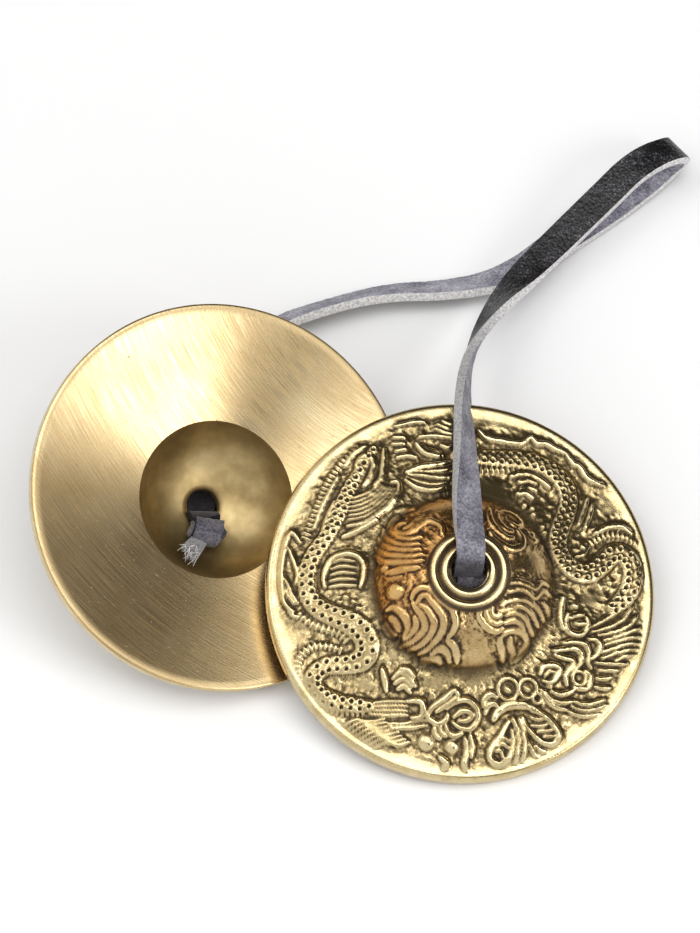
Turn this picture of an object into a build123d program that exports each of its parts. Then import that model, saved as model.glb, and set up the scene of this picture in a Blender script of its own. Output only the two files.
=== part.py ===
"""A pair of tingsha: two small, thick, bell-domed brass cymbals tied to the ends of one flat leather lace.

Millimetres, +Z up, the table at z = 0. The left cymbal lies on its back, tipped over onto its ring and rim.
The right one lies dome up and leans on the left one's rim. The lace runs from the left cymbal's hole along
the table to a finger loop, and comes back over the right cymbal to its hole. A knot in each bell holds it.
"""
from build123d import *

import os
from math import asin, atan2, ceil, cos, hypot, radians, sin, tan

# Cymbal, measured from the lip plane up along the bell's axis
RIM_RADIUS = 32.5
RIM_WALL = 1.9
RIM_ROUND = 0.9
LIP_WIDTH = 0.9
LIP_ROUND = 0.35
DOME_RADIUS = 15.5
DOME_FOOT = 7.4
DOME_BULGE = 1.1
FLANGE_DISH = 0.5
APEX_HEIGHT = 15.0
RING_RADIUS = 6.7
BEAD_WIDTH = 1.7
BEAD_HEIGHT = 0.5
BEAD_GAP = 0.2
HOLE_RADIUS = 2.9
CROWN_THICKNESS = 2.3
MOUTH_RADIUS = 13.3
MOUTH_DEPTH = 3.9
BOWL_BULGE = 2.2

# Where the pair lies
LEFT_CENTRE = (-20.17, 7.02)
LEFT_AZIMUTH = -44.4
RIGHT_CENTRE = (19.18, -6.29)
RIGHT_AZIMUTH = -66.0
STEEPEST_LEAN = 40.0
LEAN_CLEARANCE = 0.6
LEAN_HALVINGS = 24
RIM_STEPS = 720
OUTLINE_STEPS = 24

# Lace
LACE_WIDTH = 6.2
LACE_THICKNESS = 1.7
NECK_WIDTH = 4.7
NECK_THICKNESS = 1.5
BEND_LENGTH = 8.0
ARC_SHARE = 0.45
LACE_STEP = 1.6
FOLD_STEP = 0.6
LENGTH_TOLERANCE = 1e-6

# Knots and their cut tails
KNOT_LENGTH = 7.7
KNOT_DIAMETER = 5.6
LEFT_KNOT_OFFSET = 4.9
LEFT_KNOT_ANGLE = 47.0
LEFT_KNOT_LIFT = 0.6
RIGHT_KNOT_ENTRY = 0.45
TAIL_WIDTH = 4.4
TAIL_LENGTH = 4.6
TAIL_SPLAY = 38.0
TAIL_SHAPE = [(0, 0.8), (0.5, 0.95), (1, 1)]  # share of its length, share of its width
LEFT_TAIL_DROP = 0.35
RIGHT_TAIL_SPREAD = 0.5

# Route of the lace: place and the way its grain side faces, from the left cymbal to the right one
GRAIN_DOWN = (0, 0, -1)
GRAIN_UP = (0, 0, 1)
LEFT_RUN = [
    ((-24.4, 17.6, 1.0), GRAIN_DOWN),
    ((-21.8, 26.6, 1.0), GRAIN_DOWN),
    ((-17.0, 37.6, 1.4), (0.1, -0.1, -1)),
    ((-10.2, 47.0, 2.3), (0.2, -0.4, -0.9)),
    ((-0.3, 52.6, 2.5), (0.1, -0.5, -0.87)),
    ((10.2, 54.6, 2.5), (0.05, -0.5, -0.87)),
    ((20.3, 56.2, 2.4), (0.1, -0.4, -0.9)),
]
LOOP = [
    ((28.6, 59.8, 1.5), (0.1, -0.15, -1)),
    ((37.8, 65.6, 1.0), GRAIN_DOWN),
    ((47.2, 70.2, 1.0), GRAIN_DOWN),
    ((54.0, 75.0, 1.2), GRAIN_DOWN),
    ((59.6, 80.2, 1.8), (0.7, 0.6, -0.7)),
    ((58.9, 81.2, 8.6), (0.7, 0.6, 0.7)),
    ((52.3, 78.2, 9.6), GRAIN_UP),
    ((45.5, 72.4, 8.0), GRAIN_UP),
    ((38.8, 66.6, 6.4), GRAIN_UP),
    ((32.2, 59.7, 5.6), (-0.2, 0.1, 1)),
]
RIGHT_RUN = [
    ((26.9, 51.7, 6.8), (-0.6, 0.25, 0.75)),
    ((23.5, 42.9, 9.6), (-0.92, 0.3, 0.25)),
    ((21.5, 33.7, 14.0), (-0.93, 0.15, -0.35)),
    ((20.4, 25.4, 18.6), (-0.45, 0.05, -0.9)),
    ((20.2, 15.8, 20.2), (-0.15, 0, -1)),
    ((20.1, 5.4, 21.8), GRAIN_DOWN),
]
LEFT_NECK_GRAIN = (0, -1, 0)
LEFT_FOLD_GRAIN = (0, -0.7, -0.7)
LEFT_FOLD_HEIGHT = 1.0
RIGHT_FOLD_GRAIN = (0, 0.6, -0.8)
RIGHT_NECK_GRAIN = (0, 1, 0)
RIGHT_LACE_ANGLE = 156.0
RIGHT_FOLD = [(3.9, 2.4), (0.6, 1.1)]
NECK_REACH = 1.0

# Sizes that follow from the ones above
BEAD_LEVEL = APEX_HEIGHT - BEAD_HEIGHT
BOWL_TOP = BEAD_LEVEL - CROWN_THICKNESS
BEAD_CURVE = BEAD_WIDTH**2 / (8 * BEAD_HEIGHT) + BEAD_HEIGHT / 2
BEAD_CENTRE = RING_RADIUS - BEAD_WIDTH / 2


def cymbal_outline():
    """Half of a cymbal's section, as radius and height above the lip plane."""
    lip_inside = (RIM_RADIUS - LIP_WIDTH, 0)
    shoulder = (RIM_RADIUS - RIM_ROUND, RIM_WALL + RIM_ROUND)
    dome_foot = (DOME_RADIUS, DOME_FOOT)
    outer_bead_end = RING_RADIUS - BEAD_WIDTH
    inner_bead_start = outer_bead_end - BEAD_GAP
    inner_bead_end = inner_bead_start - BEAD_WIDTH
    mouth = (MOUTH_RADIUS, MOUTH_DEPTH)
    return [
        Line(lip_inside, (RIM_RADIUS - LIP_ROUND, 0)),
        CenterArc((RIM_RADIUS - LIP_ROUND, LIP_ROUND), LIP_ROUND, -90, 90),
        Line((RIM_RADIUS, LIP_ROUND), (RIM_RADIUS, RIM_WALL)),
        CenterArc((RIM_RADIUS - RIM_ROUND, RIM_WALL), RIM_ROUND, 0, 90),
        SagittaArc(shoulder, dome_foot, FLANGE_DISH),
        SagittaArc(dome_foot, (RING_RADIUS, BEAD_LEVEL), -DOME_BULGE),
        SagittaArc((RING_RADIUS, BEAD_LEVEL), (outer_bead_end, BEAD_LEVEL), -BEAD_HEIGHT),
        Line((outer_bead_end, BEAD_LEVEL), (inner_bead_start, BEAD_LEVEL)),
        SagittaArc((inner_bead_start, BEAD_LEVEL), (inner_bead_end, BEAD_LEVEL), -BEAD_HEIGHT),
        Line((inner_bead_end, BEAD_LEVEL), (HOLE_RADIUS, BEAD_LEVEL)),
        Line((HOLE_RADIUS, BEAD_LEVEL), (HOLE_RADIUS, BOWL_TOP)),
        SagittaArc((HOLE_RADIUS, BOWL_TOP), mouth, BOWL_BULGE),
        Line(mouth, lip_inside),
    ]


def seat(centre, height, azimuth, lean, face_down):
    """Plane of a cymbal's lip: its X axis runs downhill, its Z axis along the bell."""
    level, drop = cos(lean), sin(lean)
    east, north = cos(azimuth), sin(azimuth)
    open_side = Vector(drop * east, drop * north, level)
    downhill = Vector(level * east, level * north, -drop)
    return Plane((*centre, height), x_dir=downhill, z_dir=open_side if face_down else -open_side)


def left_seat(outline):
    """The left cymbal lies open side up, tipped until its ring's outer bead and its rim both touch."""
    across = RIM_RADIUS - RIM_ROUND - BEAD_CENTRE
    along = APEX_HEIGHT - BEAD_CURVE - RIM_WALL
    lean = atan2(along, across) + asin((BEAD_CURVE - RIM_ROUND) / hypot(across, along))
    surface = [edge @ (step / OUTLINE_STEPS) for edge in outline for step in range(OUTLINE_STEPS + 1)]
    height = max(point.X * sin(lean) + point.Y * cos(lean) for point in surface)
    return seat(LEFT_CENTRE, height, radians(LEFT_AZIMUTH), lean, face_down=False)


def right_seat(left):
    """The right cymbal stands on one edge of its lip, leaning as far as the left one's rim makes it."""

    def leaning(lean):
        height = (RIM_RADIUS - LIP_ROUND) * sin(lean) + LIP_ROUND * (1 - cos(lean))
        return seat(RIGHT_CENTRE, height, radians(RIGHT_AZIMUTH), lean, face_down=True)

    def underside(radius):
        slope = MOUTH_DEPTH / (RIM_RADIUS - LIP_WIDTH - MOUTH_RADIUS)
        return min(MOUTH_DEPTH, max(0, slope * (RIM_RADIUS - LIP_WIDTH - radius)))

    def clears(plane):
        for point in rim:
            place = plane.to_local_coords(point)
            radius = hypot(place.X, place.Y)
            if radius < RIM_RADIUS and place.Z > underside(radius) - LEAN_CLEARANCE:
                return False
        return True

    edges = [(RIM_RADIUS - LIP_WIDTH, 0), (RIM_RADIUS - LIP_ROUND, 0), (RIM_RADIUS, LIP_ROUND)]
    turns = [radians(360 * step / RIM_STEPS) for step in range(RIM_STEPS)]
    rim = [left.from_local_coords((r * cos(a), r * sin(a), z)) for r, z in edges for a in turns]
    low, high = 0, radians(STEEPEST_LEAN)
    for _ in range(LEAN_HALVINGS):
        middle = (low + high) / 2
        if clears(leaning(middle)):
            high = middle
        else:
            low = middle
    return leaning(high)


def polar(radius, angle, height):
    """A point of a cymbal's own frame."""
    return (radius * cos(radians(angle)), radius * sin(radians(angle)), height)


class Lace:
    """The lace's middle line, of straight runs and tangent arcs, with its width and grain side along it."""

    def __init__(self, rows):
        self.rows = [(Vector(point), Vector(grain), *section) for point, grain, *section in rows]
        points = [row[0] for row in self.rows]
        runs = [after - before for before, after in zip(points, points[1:])]
        turns = [radians(one.get_angle(two)) for one, two in zip(runs, runs[1:])]
        cuts = [ARC_SHARE * min(one.length, two.length) for one, two in zip(runs, runs[1:])]
        self.radii = [cut / tan(turn / 2) for cut, turn in zip(cuts, turns)]
        self.line = FilletPolyline(*points, radius=self.radii).wire()
        self.marks = [0.0]
        last_half_arc, last_cut = 0.0, 0.0
        for run, radius, turn, cut in zip(runs, self.radii, turns, cuts):
            half_arc = radius * turn / 2
            self.marks.append(self.marks[-1] + last_half_arc + run.length - last_cut - cut + half_arc)
            last_half_arc, last_cut = half_arc, cut
        self.marks.append(self.line.length)

    def between(self, first, second):
        """The place half way along the run from one route point to the next."""
        return (self.marks[first] + self.marks[second]) / 2

    def place(self, at):
        return self.line.position_at(at, position_mode=PositionMode.LENGTH)

    def section(self, at):
        """The lace's cross-section at a length along it, thickness along the grain side."""
        row = max(i for i, mark in enumerate(self.marks[:-1]) if mark <= at + LENGTH_TOLERANCE)
        share = (at - self.marks[row]) / (self.marks[row + 1] - self.marks[row])
        share = min(1.0, max(0.0, share))
        (_, grain_a, width_a, thick_a), (_, grain_b, width_b, thick_b) = self.rows[row : row + 2]
        tangent = self.line.tangent_at(at, position_mode=PositionMode.LENGTH)
        grain = grain_a.normalized() * (1 - share) + grain_b.normalized() * share
        across = grain.cross(tangent)
        flat = Plane(self.place(at), x_dir=across, z_dir=tangent)
        width = width_a * (1 - share) + width_b * share
        thickness = thick_a * (1 - share) + thick_b * share
        return flat * Rectangle(width, thickness)

    def stretch(self, start, end, step):
        """One solid piece of the lace between two lengths along it."""
        count = ceil((end - start) / step)
        return loft([self.section(start + (end - start) * i / count) for i in range(count + 1)], ruled=True)


def knot(plane, centre, long_angle):
    """A pulled-tight overhand knot: a plump lump, longer across than it is thick."""
    crown = EllipticalCenterArc((0, 0), KNOT_LENGTH / 2, KNOT_DIAMETER / 2, start_angle=0, arc_size=180)
    half = make_face([crown, Line((-KNOT_LENGTH / 2, 0), (KNOT_LENGTH / 2, 0))])
    return plane.location * (Pos(*centre) * Rot(0, 0, long_angle) * revolve(half, Axis.X))


def tail(plane, root, direction, normal):
    """The lace's cut end beyond the knot: a short flat tongue, a little wider where it frays."""
    heading = Vector(direction).normalized()
    across = Vector(normal).cross(heading)
    sections = []
    for share, width in TAIL_SHAPE:
        flat = Plane(Vector(root) + heading * TAIL_LENGTH * share, x_dir=across, z_dir=heading)
        sections.append(flat * Rectangle(TAIL_WIDTH * width, NECK_THICKNESS))
    return plane.location * loft(sections, ruled=True)


outline = cymbal_outline()
cymbal = revolve(Plane.XZ * make_face(outline), Axis.Z)
left = left_seat(outline)
right = right_seat(left)

# The lace's two ends, worked out in the cymbals' own frames so that they follow the holes
left_knot_centre = polar(LEFT_KNOT_OFFSET, LEFT_KNOT_ANGLE, BOWL_TOP - KNOT_DIAMETER / 2 - LEFT_KNOT_LIFT)
right_knot_level = BOWL_TOP - KNOT_DIAMETER / 2 + RIGHT_KNOT_ENTRY
fold_level = (left.origin.Z - LEFT_FOLD_HEIGHT) / -left.z_dir.Z
neck = (NECK_WIDTH, NECK_THICKNESS)
left_end = [
    (polar(LEFT_KNOT_OFFSET / 2, LEFT_KNOT_ANGLE, left_knot_centre[2]), LEFT_NECK_GRAIN),
    ((0, 0, BOWL_TOP - NECK_REACH), LEFT_NECK_GRAIN),
    ((0, 0, fold_level), LEFT_FOLD_GRAIN),
]
right_end = [(polar(r, RIGHT_LACE_ANGLE, APEX_HEIGHT + rise), RIGHT_FOLD_GRAIN) for r, rise in RIGHT_FOLD]
right_end.append(((0, 0, right_knot_level), RIGHT_NECK_GRAIN))
rows = [(left.from_local_coords(point), grain, *neck) for point, grain in left_end]
rows += [(point, grain, LACE_WIDTH, LACE_THICKNESS) for point, grain in LEFT_RUN + LOOP + RIGHT_RUN]
rows += [(right.from_local_coords(point), grain, *neck) for point, grain in right_end]
lace = Lace(rows)

first_run = len(left_end)
first_loop = first_run + len(LEFT_RUN)
first_right = first_loop + len(LOOP)
first_fold = first_right + len(RIGHT_RUN)
left_hinge = lace.between(first_loop - 1, first_loop)
right_hinge = lace.between(first_right - 1, first_right)
neck_start = lace.between(first_run - 1, first_run)
fold_start = lace.between(first_fold - 1, first_fold)
fold_end = lace.between(first_fold + 1, first_fold + 2)

left_knot = knot(left, left_knot_centre, LEFT_KNOT_ANGLE + 90)
right_knot = knot(right, (0, 0, right_knot_level), RIGHT_LACE_ANGLE + 90)
left_tail_way = polar(1, LEFT_KNOT_ANGLE + TAIL_SPLAY, -LEFT_TAIL_DROP)
right_tail_way = polar(RIGHT_TAIL_SPREAD, RIGHT_LACE_ANGLE, -1)

parts = {
    "left_cymbal": left.location * cymbal,
    "right_cymbal": right.location * cymbal,
    "left_neck": lace.stretch(0, neck_start, FOLD_STEP) - left_knot,
    "strap_left_run": lace.stretch(neck_start, left_hinge - BEND_LENGTH / 2, LACE_STEP),
    "strap_left_bend": lace.stretch(left_hinge - BEND_LENGTH / 2, left_hinge + BEND_LENGTH / 2, LACE_STEP),
    "strap_loop": lace.stretch(left_hinge + BEND_LENGTH / 2, right_hinge - BEND_LENGTH / 2, LACE_STEP),
    "strap_right_bend": lace.stretch(right_hinge - BEND_LENGTH / 2, right_hinge + BEND_LENGTH / 2, LACE_STEP),
    "strap_right_run": lace.stretch(right_hinge + BEND_LENGTH / 2, fold_start, LACE_STEP),
    "right_fold": lace.stretch(fold_start, fold_end, FOLD_STEP),
    "right_neck": lace.stretch(fold_end, lace.line.length, FOLD_STEP) - right_knot,
    "left_knot": left_knot,
    "right_knot": right_knot,
    "left_tail": tail(left, left_knot_centre, left_tail_way, (0, 0, 1)) - left_knot,
    "right_tail": tail(right, (0, 0, right_knot_level), right_tail_way, (1, 0, 0)) - right_knot,
}

os.makedirs("parts", exist_ok=True)
for name, solid in parts.items():
    export_step(solid, f"parts/{name}.step")

print("lace length", round(lace.line.length, 1), "radii", [round(radius, 1) for radius in lace.radii])
for name, at in (("left hinge", left_hinge), ("right hinge", right_hinge)):
    print(name, [round(value, 3) for value in lace.place(at)])
for name, plane in (("left", left), ("right", right)):
    print(name, "lip centre", plane.origin, "bell axis", plane.z_dir)
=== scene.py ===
"""The looks of a pair of tingsha: relief-cast brass cymbals on the two ends of one folded leather lace."""
from math import cos, pi, radians, sin

import bmesh
import bpy
import numpy as np
from mathutils import Matrix, Vector, noise


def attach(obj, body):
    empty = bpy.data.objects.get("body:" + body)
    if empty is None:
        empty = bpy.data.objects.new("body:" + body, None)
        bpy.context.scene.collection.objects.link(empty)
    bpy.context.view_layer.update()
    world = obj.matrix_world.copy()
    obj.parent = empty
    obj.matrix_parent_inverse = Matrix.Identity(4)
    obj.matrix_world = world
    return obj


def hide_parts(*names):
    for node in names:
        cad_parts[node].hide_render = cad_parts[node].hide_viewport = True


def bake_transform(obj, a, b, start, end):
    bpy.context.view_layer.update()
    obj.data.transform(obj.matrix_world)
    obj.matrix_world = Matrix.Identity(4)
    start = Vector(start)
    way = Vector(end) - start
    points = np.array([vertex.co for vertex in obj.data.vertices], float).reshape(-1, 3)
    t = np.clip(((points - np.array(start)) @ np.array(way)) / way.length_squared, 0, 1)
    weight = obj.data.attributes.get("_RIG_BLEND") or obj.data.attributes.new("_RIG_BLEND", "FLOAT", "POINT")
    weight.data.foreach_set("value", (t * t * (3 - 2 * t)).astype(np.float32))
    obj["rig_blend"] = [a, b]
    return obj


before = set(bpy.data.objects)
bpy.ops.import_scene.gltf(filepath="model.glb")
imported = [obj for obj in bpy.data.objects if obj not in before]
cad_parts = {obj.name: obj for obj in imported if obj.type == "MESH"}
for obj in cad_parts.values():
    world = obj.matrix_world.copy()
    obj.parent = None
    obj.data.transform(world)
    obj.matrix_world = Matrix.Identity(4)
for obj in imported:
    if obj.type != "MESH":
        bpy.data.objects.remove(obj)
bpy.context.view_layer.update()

# The cymbals are thick castings of brass, both from one mould. The inside is brushed on a belt and left
# satin. The outside keeps its cast relief, darkened all over and then rubbed bright on its crests.
MM = 0.001
RIM_RADIUS, RIM_WALL, RIM_ROUND = 32.5, 1.9, 0.9
LIP_WIDTH, LIP_ROUND = 0.9, 0.35
DOME_RADIUS, DOME_FOOT, DOME_BULGE = 15.5, 7.4, 1.1
FLANGE_DISH = 0.5
RING_RADIUS, BEAD_WIDTH, BEAD_HEIGHT, BEAD_GAP, BEAD_LEVEL = 6.7, 1.7, 0.5, 0.2, 14.5
HOLE_RADIUS, BOWL_TOP = 2.9, 12.2
MOUTH_RADIUS, MOUTH_DEPTH, BOWL_BULGE = 13.3, 3.9, 2.2
TURN_STEPS = 360
RELIEF_CELL, INSIDE_CELL = 0.24, 0.8
LEFT_LIP, LEFT_BELL = (-20.17, 7.02, 16.154), (-0.306068, 0.299724, -0.903597)
RIGHT_LIP, RIGHT_BELL = (19.18, -6.29, 6.436), (0.081333, -0.182678, 0.979803)


def arc(start, end, bulge, count):
    """Points of a shallow arc in the section, start included and end left out, bulging to its left."""
    start, end = Vector(start), Vector(end)
    across = end - start
    side = Vector((-across.y, across.x)).normalized()
    shares = [i / count for i in range(count)]
    return [start + across * t + side * (4 * bulge * t * (1 - t)) for t in shares]


def cells(start, end, size):
    return max(1, round((Vector(end) - Vector(start)).length / size))


outer_bead_end = RING_RADIUS - BEAD_WIDTH
inner_bead_start = outer_bead_end - BEAD_GAP
inner_bead_end = inner_bead_start - BEAD_WIDTH
hole_top, bowl_top = (HOLE_RADIUS, BEAD_LEVEL), (HOLE_RADIUS, BOWL_TOP)
ring_foot, dome_foot = (RING_RADIUS, BEAD_LEVEL), (DOME_RADIUS, DOME_FOOT)
shoulder = (RIM_RADIUS - RIM_ROUND, RIM_WALL + RIM_ROUND)
lip_inside, mouth = (RIM_RADIUS - LIP_WIDTH, 0), (MOUTH_RADIUS, MOUTH_DEPTH)
outside = arc(ring_foot, dome_foot, DOME_BULGE, cells(ring_foot, dome_foot, RELIEF_CELL))
outside += arc(dome_foot, shoulder, -FLANGE_DISH, cells(dome_foot, shoulder, RELIEF_CELL))
section = arc(bowl_top, hole_top, 0, 5)
section += arc(hole_top, (inner_bead_end, BEAD_LEVEL), 0, 1)
section += arc((inner_bead_end, BEAD_LEVEL), (inner_bead_start, BEAD_LEVEL), BEAD_HEIGHT, 8)
section += arc((inner_bead_start, BEAD_LEVEL), (outer_bead_end, BEAD_LEVEL), 0, 1)
section += arc((outer_bead_end, BEAD_LEVEL), ring_foot, BEAD_HEIGHT, 8)
section += outside
section += [
    Vector((RIM_RADIUS - RIM_ROUND + RIM_ROUND * sin(a), RIM_WALL + RIM_ROUND * cos(a)))
    for a in np.linspace(0, pi / 2, 6)
]
section += [
    Vector((RIM_RADIUS - LIP_ROUND + LIP_ROUND * cos(a), LIP_ROUND - LIP_ROUND * sin(a)))
    for a in np.linspace(0, pi / 2, 5)
]
section += arc(lip_inside, mouth, 0, cells(lip_inside, mouth, INSIDE_CELL))
section += arc(mouth, bowl_top, -BOWL_BULGE, cells(mouth, bowl_top, INSIDE_CELL))

bm = bmesh.new()
ring = [bm.verts.new((p.x * MM, 0, p.y * MM)) for p in section]
edges = [bm.edges.new((a, b)) for a, b in zip(ring, ring[1:] + ring[:1])]
bmesh.ops.spin(
    bm, geom=ring + edges, axis=(0, 0, 1), cent=(0, 0, 0), angle=2 * pi, steps=TURN_STEPS, use_merge=True
)
flange_edges = [
    e
    for e in bm.edges
    if abs(e.verts[0].co.z - e.verts[1].co.z) < 1e-7
    and abs(e.verts[0].co.xy.length - e.verts[1].co.xy.length) < 1e-7
    and e.verts[0].co.xy.length > (DOME_RADIUS - 0.01) * MM
    and e.verts[0].co.z > 2.5 * MM
]
bmesh.ops.subdivide_edges(bm, edges=flange_edges, cuts=1)
bmesh.ops.recalc_face_normals(bm, faces=bm.faces)
for edge in bm.edges:
    ends = [abs(v.co.xy.length - MOUTH_RADIUS * MM) + abs(v.co.z - MOUTH_DEPTH * MM) for v in edge.verts]
    edge.smooth = max(ends) > 1e-6
cymbal_mesh = bpy.data.meshes.new("cymbal")
bm.to_mesh(cymbal_mesh)
bm.free()
cymbal_mesh.shade_smooth()

# The relief's lines, in millimetres on the plan of the outside, from the middle of the hole: two dragons
# round the flange with a lotus and jewel between their heads, and four clouds on the bell.
CLOUD_LINES = [
    [(-9.4, -4.5), (-9, -3.5), (-7.9, -2.8), (-6.7, -3), (-5.8, -3.9), (-5, -4.8), (-4, -5.5), (-3, -6.3),
     (-2.4, -7.5), (-2.2, -8.7), (-2.6, -9.9), (-3.3, -10.8)],
    [(-3.4, -11.2), (-2.4, -12), (-1.8, -13.2), (-1.5, -14.3)],
    [(-8.6, -5.3), (-7.8, -4.2), (-6.9, -4.2), (-6.1, -5.2), (-5.1, -6.5), (-4.3, -7.7), (-4.2, -9.1),
     (-4.7, -10.4), (-5.5, -11.4), (-6.6, -12.3), (-7.9, -12.8)],
    [(-8, -5.5), (-7, -6.3), (-6.2, -7.4), (-5.7, -8.5), (-5.9, -9.7), (-6.6, -10.7), (-7.8, -11.6),
     (-9.4, -12)],
    [(-9.2, -5.1), (-8.5, -6.2), (-7.7, -7.3), (-7.2, -8.4), (-7.2, -9.4), (-8, -10.3), (-9.2, -11),
     (-10.7, -11.3)],
    [(-8.8, -7.3), (-8.5, -8.5), (-9.1, -9.6), (-10.3, -10.4)],
    [(-13.2, -5.6), (-12.4, -5.4), (-11.6, -5.9), (-10.7, -6.8), (-10, -7.9), (-9.8, -9.1), (-10.3, -10)],
    [(-12.6, -6.8), (-11.8, -7.7), (-11.2, -9)],
    [(-13.4, -7.5), (-12.7, -8.8), (-11.7, -9.6)],
    [(-5.8, -13), (-4.8, -12.4), (-3.9, -12.5), (-3.2, -13.1), (-2.8, -14.2)],
    [(-7.3, -13.5), (-6.2, -13.7), (-5, -13.6), (-4.2, -14.4)],
    [(5.9, -2.1), (7, -1.7), (8.5, -1.5), (10, -1.8), (11.2, -2), (11.9, -1.3), (12.9, -0.8), (13.8, -1.1)],
    [(6.6, -3.3), (7.6, -2.8), (8.8, -2.5), (10.1, -2.9), (11.1, -3.5), (11.7, -3.1), (12.3, -2.4),
     (13.2, -2.1), (14.2, -2.6)],
    [(5.4, -5.7), (6.3, -4.9), (7.7, -4.4), (9, -4.2), (10.6, -4.6), (12.1, -5.5), (13.1, -6.7)],
    [(5.1, -6.7), (6.3, -6.2), (7.9, -5.5), (9.4, -5.5), (10.9, -6.4), (12.1, -7.9)],
    [(6.1, -7.1), (7, -6.7), (8.2, -6.5), (9.5, -7.1), (10.4, -8.3), (11.2, -9.3)],
    [(6, -8.3), (6.9, -7.9), (8, -7.7), (8.9, -8.3), (9.6, -9.4)],
    [(1.9, -6.5), (1.7, -7.5), (2.4, -8.5), (3.5, -9.4), (4.8, -9.6), (5.8, -9.1)],
    [(2.8, -6.5), (2.8, -7.3), (3.5, -8.2), (4.6, -8.5), (5.6, -8.1)],
    [(3.8, -6), (3.7, -6.8), (4.3, -7.4), (5.4, -7.1)],
    [(12.8, -4.1), (13.7, -4.7), (14.2, -5.8)],
    [(5.5, -10.5), (5.4, -11.3), (5.9, -12.5), (6.3, -13.8)],
    [(7.2, -10.3), (7.2, -11.3), (7.9, -12.5), (7.7, -13.6)],
    [(5.7, -10.2), (6.7, -9.5), (8.1, -9.2), (9.4, -9.5), (10.2, -10.4), (10, -11.4), (9.1, -12.4),
     (8.3, -13.4)],
    [(-4.4, 6.3), (-4.3, 7.5), (-5.2, 8.7), (-6.5, 9.2), (-7.7, 8.7), (-8.9, 7.7), (-9.9, 7.1), (-11, 7.3),
     (-11.5, 8.2), (-11, 9.2), (-10, 9.3)],
    [(-6.9, 10), (-8.1, 9.5), (-9.2, 8.5), (-10.3, 8.1)],
    [(-10.9, 11.4), (-12, 10.2), (-12.3, 8.4), (-11.4, 6.9), (-9.7, 6), (-7.8, 6.1)],
    [(-13.3, 9), (-13.3, 7.4), (-12.2, 5.9), (-10.3, 5), (-8.2, 4.9)],
    [(-14.1, 7.4), (-13.7, 5.8), (-12.2, 4.6), (-10, 3.9), (-8.1, 3.9)],
    [(-14.7, 5.8), (-13.8, 4.2), (-12.1, 3.3), (-9.6, 2.8), (-7.7, 2.9)],
    [(-14.9, 4.2), (-13.8, 2.7), (-11.7, 2), (-9.2, 1.7), (-7.7, 1.9)],
    [(-13.4, 0.5), (-11.7, 0.6), (-10, 0.7), (-8.3, 0.7)],
    [(-11.3, 12.2), (-10.1, 12.6), (-8.5, 12.4)],
    [(3.6, 6.9), (5, 5.3), (6.6, 4.4), (8.1, 4.4), (9.3, 5.4), (9.4, 6.7), (8.5, 7.9)],
    [(3.9, 11.7), (3.8, 9.9), (4.3, 8.3), (5.3, 7), (6.5, 6.2), (7.6, 6.3)],
    [(5, 11.5), (5, 10.1), (5.4, 8.8), (6.4, 7.8), (7.6, 7.5)],
    [(5.3, 10.9), (6.5, 11.5), (8, 11.2), (9.1, 10.3), (9.4, 9.2), (8.6, 8.7), (7.5, 9.1)],
    [(10, 8.4), (10.6, 7.2), (11.6, 6.7), (12.3, 7.2)],
]
CLOUD_LUMPS = [
    (-12, -2.9, 1.5), (-13.6, 1.3, 0.8), (11.1, 7.7, 0.9),
]
LEFT_DRAGON = [
    (-14.6, 23.6, 0.7), (-16, 21.5, 0.9), (-17.6, 18.6, 1.1), (-19.4, 15.2, 1.2), (-20.5, 12.2, 1.2),
    (-21.7, 9.6, 1.2), (-23.4, 7, 1.3), (-25, 4.5, 1.4), (-25.8, 1.5, 1.5), (-25.6, -1.4, 1.6),
    (-24.4, -3.6, 1.7), (-22.4, -5, 1.8), (-20.2, -6, 1.9), (-17.9, -7.4, 2), (-16.3, -9.5, 2),
    (-16, -11.6, 2), (-17, -13.1, 1.9), (-19.4, -13.6, 1.7), (-22, -13.7, 1.6), (-24, -14.8, 1.6),
    (-24.7, -16.4, 1.6), (-23.6, -18.4, 1.6), (-21.2, -19.7, 1.5), (-18.4, -20.2, 1.3), (-15.5, -20.5, 1.1),
]
RIGHT_DRAGON = [
    (-0.6, 22.5, 1.3), (2.5, 22.5, 1.4), (6, 22.4, 1.5), (10, 22.3, 1.6), (13.3, 21.6, 1.6), (16, 20, 1.6),
    (17.6, 17.8, 1.6), (18.1, 15.5, 1.6), (17.6, 13, 1.6), (16.6, 10.5, 1.6), (16, 8, 1.6), (16.2, 5.8, 1.6),
    (17.4, 3.8, 1.7), (19.3, 2.6, 1.8), (21.4, 2.8, 1.8), (23.4, 4.4, 1.8), (25.2, 6.2, 1.8), (27, 6.4, 1.8),
    (28.4, 5, 1.8), (28.8, 2.8, 1.8), (28.2, 0.4, 1.7), (26.9, -1.5, 1.5), (25.3, -3, 1.2),
]
BELLY_STRIPS = [
    [(-27, -5), (-25, -6.7), (-22.5, -7.8), (-20.5, -8.6), (-19.4, -9.8)],
    [(-20.3, -11.2), (-23, -10.4), (-25, -10.6), (-26.6, -11.9), (-27.4, -13.7), (-27, -15.7), (-25.9, -17.8),
     (-24.2, -19.8), (-22, -20.9), (-19.5, -21.4), (-16.5, -21.4)],
    [(-26, 8), (-24.5, 12), (-23, 16), (-21.5, 19), (-19.5, 21.6), (-17, 24)],
    [(20.5, 7), (22, 8.2), (24, 9.4), (26, 9.8), (28, 9.4), (29.6, 8.8)],
    [(3.4, 20.4), (6, 20.6), (9, 20.7), (11.6, 20.4)],
]
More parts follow.
